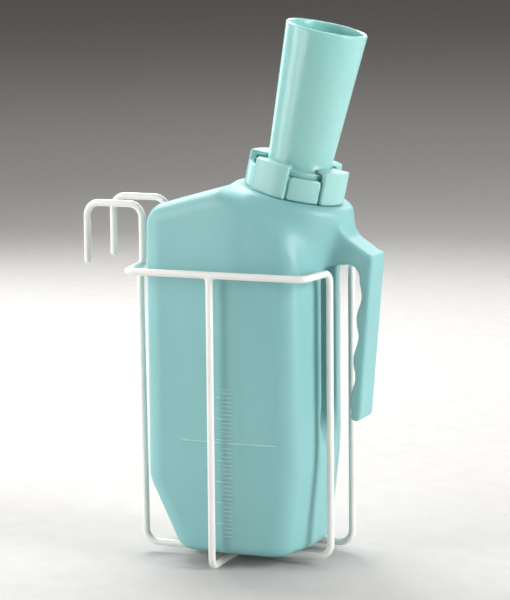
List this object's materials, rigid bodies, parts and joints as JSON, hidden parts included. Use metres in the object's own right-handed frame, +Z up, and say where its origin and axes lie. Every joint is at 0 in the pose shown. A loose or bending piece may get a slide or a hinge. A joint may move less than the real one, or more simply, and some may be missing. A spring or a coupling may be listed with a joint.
{
  "type": "male urine bottle in a wire bed-rail holder",
  "caption": "Spill-resistant plastic urine jug with a leaning funnel spout, screw ring and pistol grip, in a coated wire holder with bed-rail hooks.",
  "frame": {"origin": "on the floor plane under the centre of the wire holder, midway between its four legs", "axes": "+Z up; +X towards the handle and the way the neck leans; +Y to the rear, so the fill scale is on the -Y face and the rail hooks are on -X"},
  "size_m": [0.1802, 0.1052, 0.3196],
  "materials": {
    "jug_plastic": "satin moulded polypropylene, pale aqua",
    "spout_plastic": "gloss moulded polypropylene, pale aqua",
    "nut_plastic": "satin moulded polypropylene, pale aqua",
    "gasket": "soft pale grey silicone",
    "wire_coating": "gloss white vinyl dip on steel wire"
  },
  "bodies": {
    "holder": {"front_cage_wire": "wire_coating", "rear_cage_wire": "wire_coating", "cross_wire": "wire_coating"},
    "jug": {"jug_body": "jug_plastic", "jug_handle": "jug_plastic"},
    "spout_insert": {"spout_tube": "spout_plastic", "neck_gasket": "gasket"},
    "nut": {"ring_nut": "nut_plastic"}
  },
  "joints": [
    {"name": "jug_lift", "type": "slide", "parent": "holder", "child": "jug", "axis": [0, 0, 1], "range_m": [0, 0.175]},
    {"name": "insert_rise", "type": "slide", "parent": "jug", "child": "spout_insert", "axis": [0.2164, 0, 0.9763], "range_m": [0, 0.0051]},
    {"name": "nut_turn", "type": "hinge", "parent": "spout_insert", "child": "nut", "pos_m": [0.03, 0, 0.21801], "axis": [0.2164, 0, 0.9763], "range_deg": [0, 450]}
  ],
  "couplings": [
    {"joint": "insert_rise", "follows": "nut_turn", "m_per_rad": 0.00063662}
  ]
}
